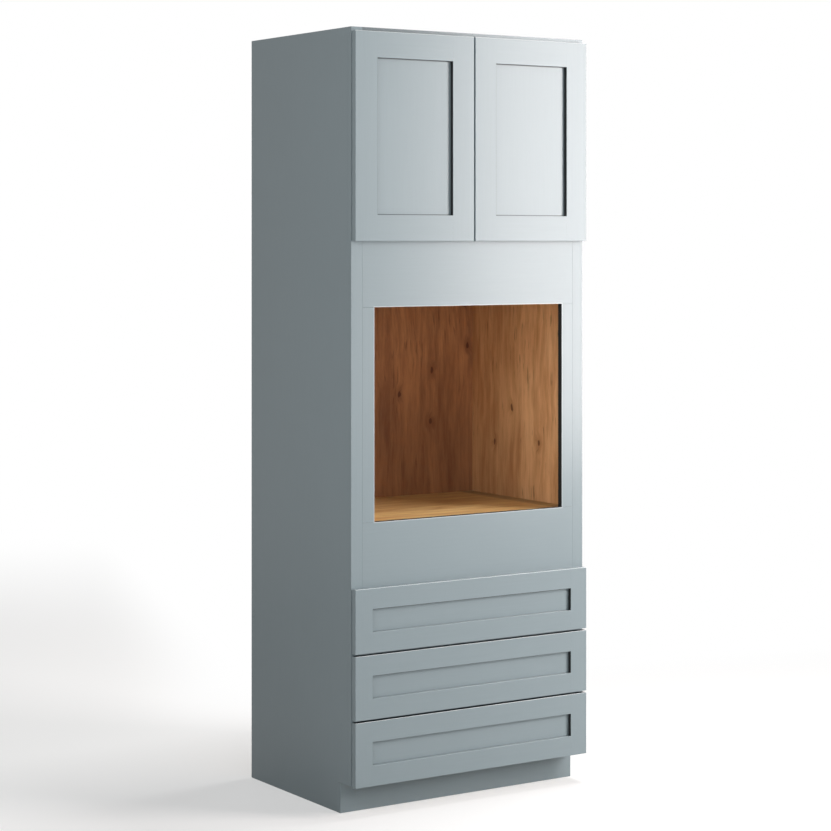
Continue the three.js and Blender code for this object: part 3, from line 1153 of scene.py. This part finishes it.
@dataclass
class SidePanel:
    """A side panel: painted outside, veneered inside, with shelf holes and deck grooves.

    Attributes:
        side: Which side it stands on.
        ease: The radius of its edges.
        room: The clearance of the toe notch and the grooves.
        groove: The grooves' depth, and how far they lie below the decks' upper faces.
        pitch: The distance from shelf hole to shelf hole.
        each_way: Shelf holes above the shelf pin, and below it.
        hole: A shelf hole's radius.
        deep: Its depth.
        painted: How far in from the outer face the edges are painted.
    """

    side: Side
    ease: float = 0.6 * MM
    room: float = 0.3 * MM
    groove: float = 4 * MM
    pitch: float = 32 * MM
    each_way: int = 4
    hole: float = 2.7 * MM
    deep: float = 8.3 * MM
    painted: float = 8 * MM

    def build(self) -> None:
        """Cuts the panel and finishes both faces."""
        node = f"{self.side.word}_side_panel"
        whole, rail = Box.of(node), Box.of("bottom_rail")
        notch = Box.of("toe_kick_board").y[1] + self.room
        outline = [
            (notch, whole.z[0]), (whole.y[1], whole.z[0]), (whole.y[1], whole.z[1]),
            (whole.y[0], whole.z[1]), (whole.y[0], rail.z[0]), (notch, rail.z[0]),
        ]
        board = prism(outline, Axis.X, whole.x, self.ease)
        board = Workshop.carve(board, self._cutters(whole))
        inward = -self.side.value

        def choose(normal: Vector, middle: Vector) -> int:
            """1 for the veneered inner face and its edges, but not the front one, 0 for paint."""
            inside = (middle.x - whole.outer(self.side)) * inward > self.painted
            return 1 if inside and (normal.x * inward > 0.5 or abs(middle.y - whole.y[0]) > 2 * MM) else 0

        paints = (PAINT_UPRIGHT if self.side is Side.LEFT else PAINT_FAR_SIDE, SIDE_WOOD)
        Workshop.place(node + "_board", board, "cabinet", paints, "painted_wood", choose, [node])

    def _cutters(self, whole: Box) -> list[BMesh]:
        """Makes the grooves for the decks' tongues, and the columns of shelf holes.

        Args:
            whole: The panel's box.

        Returns:
            Their closed meshes.
        """
        face, cutters = whole.inner(self.side), []
        for deck in map(Box.of, ("cupboard_floor", "oven_shelf", "bottom_deck")):
            z = grown((deck.z[0], deck.z[1] - self.groove), self.room)
            cutters.append(Box(grown((face, face), self.groove), (whole.y[0] - MM, deck.y[1]), z).block())
        turn = Matrix.Rotation(math.pi / 2, 4, "Y")
        for end, step in product(("front", "rear"), range(-self.each_way, self.each_way + 1)):
            pin = Box.of(f"shelf_pin_{self.side.word}_{end}")
            foot = (face - self.deep, middle_of(pin.y), middle_of(pin.z) + step * self.pitch)
            cutters.append(rod(self.hole, 2 * self.deep, 20, foot, turn))
        return cutters


@dataclass
class BackPanel:
    """The plywood back: veneered towards the oven, raw towards the wall.

    Attributes:
        ease: The radius of its edges.
    """

    ease: float = 0.4 * MM

    def build(self) -> None:
        """Builds the board with a finish on each face."""
        def choose(normal: Vector, middle: Vector) -> int:
            """0 for the veneered front face, 1 for raw wood."""
            return 0 if normal.y < -0.5 else 1

        Workshop.place(
            "back_panel_board", Box.of("back_panel").block(self.ease), "cabinet", (BACK_WOOD, RAW_WOOD),
            "natural_wood", choose, ["back_panel"],
        )


@dataclass
class FaceFrame:
    """The painted frame on the cabinet's front, and the boards behind it.

    Attributes:
        ease: The radius of the boards' edges.
        rim: The width of the painted highlight round the oven opening.
        rim_share: How strong that painted highlight is, 0 to 1.
    """

    ease: float = 0.15 * MM
    rim: float = 2.4 * MM
    rim_share: float = 0.42

    # The third column gives the normal of faces painted in deep shade: the right jamb and the sill's top.
    ROUND_OPENING: ClassVar[tuple[tuple[str, Axis, Triple | None], ...]] = (
        ("left_opening_filler", Axis.Z, None), ("right_opening_filler", Axis.Z, (-1.0, 0.0, 0.0)),
        ("header_rail", Axis.X, None), ("sill_rail", Axis.X, (0.0, 0.0, 1.0)),
    )
    OTHERS: ClassVar[tuple[tuple[Finish, tuple[str, ...]], ...]] = (
        (PAINT_UPRIGHT, ("left_stile", "right_stile")),
        (PAINT_LEVEL, ("upper_drawer_rail", "lower_drawer_rail", "bottom_rail", "toe_kick_board")),
        (PAINT_SHADED, ("top_rail",)),
        (FLOOR_WOOD, ("oven_shelf", "cupboard_floor", "bottom_deck", "cupboard_shelf", "hanging_rail")),
        (TOP_WOOD, ("top_panel",)),
    )

    def build(self) -> None:
        """Finishes the frame's members and the decks."""
        x = (Box.of("left_opening_filler").x[1], Box.of("right_opening_filler").x[0])
        z = (Box.of("sill_rail").z[1], Box.of("header_rail").z[0])
        ramps = tuple(
            (axis, (edge + out * 1.2 * self.rim, edge + out * 0.8 * self.rim))
            for axis, span in ((Axis.X, x), (Axis.Z, z)) for edge, out in zip(span, (-1, 1))
        )
        # A painted highlight along the oven opening's edges.
        rim = Shade(ramps, self.rim_share, HIGHLIGHT_COLOUR)
        for node, grain, shaded in self.ROUND_OPENING:
            paint = SatinPaint(f"satin_paint_{node}", PAINT_COLOUR, grain, shades=(rim,), towards=shaded)
            Workshop.dress(node, paint, self.ease)
        for finish, nodes in self.OTHERS:
            for node in nodes:
                Workshop.dress(node, finish, self.ease)


@dataclass
class Hardware:
    """Hinges, slides, shelf pins, screws and bumpers.

    Attributes:
        head: A screw head's radius.
        dome: How far it stands proud.
        bumper: A bumper's radius.
        bumper_height: How far it stands proud.
        sheet: The thickness of the slides' steel.
        cup_screws: How far above and below its middle a cup's screws are.
        sunk: How far a cup's screws are let into its wings.
        arm_screws: How far above and below the cup's middle an arm's screws are.
        inset: How far those are from the arm's rear edge.
        foot: How far a channel's rear screw is from its outer side.
        ends: How far a runner's screws are from its ends.
        front_screws: The X, height from below and depth from above of a drawer front's screws.
        box_wall: The thickness of a drawer box's front board.
        door_bumpers: How far a door's bumpers are from its inner side, and from the rails' edges.
        drawer_bumpers: How far a drawer front's bumpers are from its side and its top.
    """

    head: float = 3.6 * MM
    dome: float = 1.1 * MM
    bumper: float = 4.5 * MM
    bumper_height: float = 2.6 * MM
    sheet: float = 1.2 * MM
    cup_screws: float = 21.5 * MM
    sunk: float = 0.1 * MM
    arm_screws: float = 14 * MM
    inset: float = 8 * MM
    foot: float = 10 * MM
    ends: float = 60 * MM
    front_screws: Triple = (250 * MM, 32 * MM, 22 * MM)
    box_wall: float = 12.7 * MM
    door_bumpers: Span = (14 * MM, 9 * MM)
    drawer_bumpers: Span = (18 * MM, 14 * MM)

    REAR: ClassVar[Triple] = (0, 1, 0)
    FRONT: ClassVar[Triple] = (0, -1, 0)

    def build(self) -> None:
        """Finishes the steel nodes and adds the screws and bumpers."""
        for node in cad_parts:
            if any(word in node for word in ("hinge", "slide", "shelf_pin")):
                Workshop.dress(node, STEEL)
        self._hinge_screws()
        self._slide_screws()
        self._front_screws()
        self._bumpers()

    @cached_property
    def screw_mesh(self) -> bpy.types.Mesh:
        """Makes a domed screw head with a cross recess, looking along +Z.

        Returns:
            The mesh.
        """
        wide, high = self.head, self.dome
        crown = [(wide, high * 0.35), (wide * 0.8, high * 0.8), (wide * 0.4, high)]
        head = turned([(0, 0), (wide, 0), *crown, (0, high)])
        long, short = grown((0, 0), wide * 0.62), grown((0, 0), wide * 0.13)
        depth = (high * 0.25, high * 2)
        slots = [prism(rectangle(*cross), Axis.Z, depth) for cross in ((long, short), (short, long))]
        return Workshop.mesh("screw_head", Workshop.carve(head, slots), [STEEL])

    @cached_property
    def bumper_mesh(self) -> bpy.types.Mesh:
        """Makes a domed bumper, looking along +Z.

        Returns:
            The mesh.
        """
        wide, high = self.bumper, self.bumper_height
        arc = [(wide * math.cos(turn), high * (0.3 + 0.7 * math.sin(turn))) for turn in (0, 0.4, 0.8, 1.2)]
        dome = turned([(0, 0), (wide, 0), *arc, (0, high)])
        for face in dome.faces:
            face.smooth = abs(face.normal.z) < 0.98
        return Workshop.mesh("bumper_dome", dome, [GEL])

    def _fix(self, name: str, mesh: bpy.types.Mesh, place: Triple, body: str, facing: Triple = REAR) -> None:
        """Sets a screw or a bumper on a face.

        Args:
            name: The piece's name.
            mesh: Its mesh, which looks along +Z.
            place: A point on the face.
            body: The body that carries it.
            facing: The face's normal.
        """
        piece = Workshop.show(name, mesh)
        turn = Vector(facing).to_track_quat("Z", "Y").to_matrix().to_4x4()
        piece.matrix_world = Matrix.Translation(place) @ turn
        Workshop.settle(piece, body, "steel" if mesh == self.screw_mesh else "")

    def _hinge_screws(self) -> None:
        """Adds two screws in each cup's wings, and two in each arm's plate."""
        for side, end, (sign, word) in product(Side, ("upper", "lower"), ((1, "top"), (-1, "bottom"))):
            stem = f"{side.word}_{end}_hinge"
            cup, arm = Box.of(stem + "_cup"), Box.of(stem + "_arm")
            z = middle_of(cup.z)
            place = (middle_of(cup.x), cup.y[1] - self.sunk, z + sign * self.cup_screws)
            self._fix(f"{stem}_cup_screw_{word}", self.screw_mesh, place, f"{side.word}_door")
            place = (arm.inner(side), arm.y[1] - self.inset, z + sign * self.arm_screws)
            self._fix(f"{stem}_arm_screw_{word}", self.screw_mesh, place, "cabinet", (-side.value, 0, 0))

    def _slide_screws(self) -> None:
        """Adds a screw in each channel's rear foot, and two in each runner."""
        for drawer, side in product(DRAWERS, Side):
            stem = f"{drawer}_{side.word}_slide"
            channel, runner = Box.of(stem + "_channel"), Box.of(stem + "_runner")
            z = middle_of(channel.z)
            place = (channel.outer(side) - side.value * self.foot, channel.y[1] - self.sheet, z)
            self._fix(f"{stem}_rear_screw", self.screw_mesh, place, "cabinet", self.FRONT)
            for index, y in enumerate(grown(runner.y, -self.ends), 1):
                place = (runner.inner(side) + side.value * self.sheet, y, z)
                name, facing = f"{stem}_runner_screw_{index}", (side.value, 0, 0)
                self._fix(name, self.screw_mesh, place, f"{drawer}_drawer", facing)

    def _front_screws(self) -> None:
        """Adds four screws through each box's front board into the drawer front."""
        x, low, high = self.front_screws
        for drawer, side in product(DRAWERS, Side):
            box = Box.of(f"{drawer}_drawer_box")
            for level, z in (("low", box.z[0] + low), ("high", box.z[1] - high)):
                place = (side.value * x, box.y[0] + self.box_wall, z)
                name = f"{drawer}_front_{side.word}_screw_{level}"
                self._fix(name, self.screw_mesh, place, f"{drawer}_drawer")

    def _bumpers(self) -> None:
        """Adds bumpers behind the doors' meeting corners and the drawer fronts' upper corners."""
        aside, off = self.door_bumpers
        levels = (("top", Box.of("top_rail").z[0] + off), ("bottom", Box.of("header_rail").z[1] - off))
        for side, (word, z) in product(Side, levels):
            door = Box.of(f"{side.word}_door_frame")
            place = (door.inner(side) + side.value * aside, door.y[1], z)
            self._fix(f"{side.word}_door_bumper_{word}", self.bumper_mesh, place, f"{side.word}_door")
        aside, off = self.drawer_bumpers
        for drawer, side in product(DRAWERS, Side):
            front = Box.of(f"{drawer}_drawer_front_frame")
            place = (front.outer(side) - side.value * aside, front.y[1], front.z[1] - off)
            self._fix(f"{drawer}_drawer_bumper_{side.word}", self.bumper_mesh, place, f"{drawer}_drawer")


# --- Studio ---------------------------------------------------------------------------------


@dataclass(frozen=True)
class Lamp:
    """A soft rectangular lamp.

    Attributes:
        name: Its name.
        place: Where it hangs.
        target: What it points at.
        size: Its width and height.
        watts: Its power.
        tint: Its colour.
    """

    name: str
    place: Triple
    target: Triple
    size: tuple[float, float]
    watts: float
    tint: Colour = (1.0, 1.0, 1.0)

    def hang(self) -> None:
        """Adds the lamp to the scene."""
        data = bpy.data.lights.new(self.name, "AREA")
        data.shape = "RECTANGLE"
        data.size, data.size_y = self.size
        data.energy = self.watts
        data.color = self.tint
        lamp = Workshop.show(self.name, data)
        lamp.visible_camera = False
        lamp.location = self.place
        aim = Vector(self.target) - Vector(self.place)
        lamp.rotation_euler = aim.to_track_quat("-Z", "Y").to_euler()


@dataclass
class Studio:
    """Floor, backdrop, lamps and camera.

    Attributes:
        lens: The camera's focal length on its sensor, in millimetres.
        sensor: The sensor's width, in millimetres.
        shift: How far the frame is moved down from the horizon, as a share of its width.
        place: The camera's place.
        heading: The camera's turn from +Y towards +X, in degrees.
        fill: The light from all round.
        floor: Half the floor's width.
    """

    lens: float = 98.56
    sensor: float = 36.0
    shift: float = -0.2118
    place: Triple = (-3.866, -5.880, 1.670)
    heading: float = 33.25
    fill: float = 0.02
    floor: float = 30.0

    LAMPS: ClassVar[tuple[Lamp, ...]] = (
        Lamp("key", (2.12, -2.38, 1.93), (0, 0.3, 1.93), (1.25, 2.34), 128, (1.10, 1.01, 0.985)),
        Lamp("overhead", (1.3, 0.0, 6.2), (1.3, 0.0, 0), (1.6, 1.6), 224),
        Lamp("high_key", (2.0, -2.2, 5.8), (0, 0, 0.4), (1.6, 1.6), 32),
        Lamp("front_high", (-1.4, -4.0, 4.4), (0, 0, 1.0), (2.0, 2.0), 20),
        Lamp("side_high", (-3.0, 0.6, 4.2), (0, 0, 2.4), (1.6, 1.6), 7),
        Lamp("left_fill", (-2.8, -4.2, 1.3), (0, 0, 1.2), (2.0, 1.8), 36),
        Lamp("left_side", (-4.2, -2.2, 1.5), (0, 0, 1.2), (1.4, 1.4), 15),
        Lamp("left_near", (-2.6, -1.6, 2.6), (0, -0.2, 1.3), (1.0, 1.0), 17),
        Lamp("back_fill", (1.4, 4.8, 2.4), (0, 0, 1.2), (2.5, 2.0), 40),
    )

    def build(self) -> None:
        """Builds the whole studio."""
        bpy.context.scene.view_settings.view_transform = "Standard"
        self._camera()
        self._floor()
        self._world()
        for lamp in self.LAMPS:
            lamp.hang()

    def _camera(self) -> None:
        """Sets the camera at the photograph's viewpoint, level, with the frame shifted down."""
        data = bpy.data.cameras.new("camera")
        data.sensor_width = self.sensor
        data.lens = self.lens
        data.shift_y = self.shift
        data.clip_end = 100
        camera = Workshop.show("camera", data)
        camera.location = self.place
        camera.rotation_euler = (math.pi / 2, 0, -math.radians(self.heading))
        bpy.context.scene.camera = camera

    def _floor(self) -> None:
        """Lays a wide floor."""
        bm = bmesh.new()
        bmesh.ops.create_grid(bm, x_segments=1, y_segments=1, size=self.floor)
        Workshop.show("floor", Workshop.mesh("floor", bm, [PaleFloor("studio_floor")]))

    def _world(self) -> None:
        """Makes the world white where it is seen, and a plain fill light elsewhere."""
        world = bpy.data.worlds.new("studio")
        world.use_nodes = True
        bpy.context.scene.world = world
        graph = Graph(world.node_tree)
        light, white = (
            graph.node("ShaderNodeBackground", {}, {"Color": (1.0, 1.0, 1.0), "Strength": strength})
            for strength in (self.fill, 1.0)
        )
        graph.surface(graph.node("ShaderNodeMixShader", {}, {0: seen_by_eye(graph), 1: light, 2: white}))


def main() -> None:
    """Builds the studio and the cabinet."""
    logging.basicConfig(level=logging.INFO, format="%(name)s: %(message)s")
    Studio().build()
    for side in Side:
        SidePanel(side).build()
    BackPanel().build()
    FaceFrame().build()
    for side in Side:
        door = f"{side.word}_door"
        cups = tuple(f"{side.word}_{end}_hinge_cup" for end in ("upper", "lower"))
        ShakerFront(door, door, 76 * MM, (0.12, 0.5, 0.6), PAINT_LEVEL, cups).build()
    for name in DRAWERS:
        top = PAINT_LEVEL if name == "top" else PAINT_GAP_SHADE
        ShakerFront(f"{name}_drawer_front", f"{name}_drawer", 60 * MM, (0.3, 1.0, 0.15), top).build()
        DrawerBox(name).build()
    Hardware().build()
    LOG.info("%d pieces made", Workshop.made)


if __name__ == "__main__":
    main()
